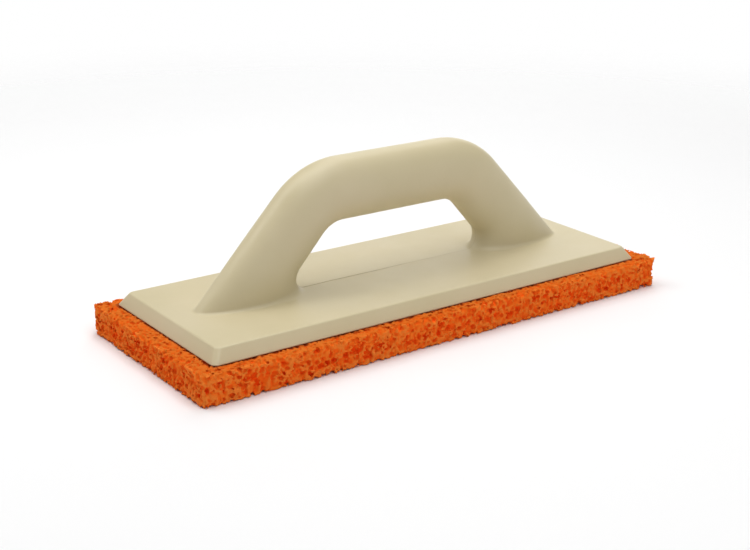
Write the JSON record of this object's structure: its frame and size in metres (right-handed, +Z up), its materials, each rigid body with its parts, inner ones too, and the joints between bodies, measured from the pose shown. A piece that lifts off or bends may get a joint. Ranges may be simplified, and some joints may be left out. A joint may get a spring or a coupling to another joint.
{
  "type": "sponge float",
  "caption": "Sponge float: moulded bevelled plate with a bridge handle in one piece, glued to a coarse open-cell sponge pad for wetting and smoothing render and grout.",
  "frame": {"origin": "centre of the sponge's flat working face", "axes": "+X along the float, +Y across it, +Z up from the working face to the grip"},
  "size_m": [0.34, 0.133, 0.1045],
  "materials": {
    "moulding": "cream rigid polyurethane moulding, smooth satin skin",
    "adhesive": "thin cured contact adhesive, brown and matte",
    "sponge": "orange coarse open-cell sponge, matte, ragged cut edges"
  },
  "bodies": {
    "root": {"float_body": "moulding", "adhesive_film": "adhesive", "sponge_pad": "sponge"}
  },
  "joints": []
}
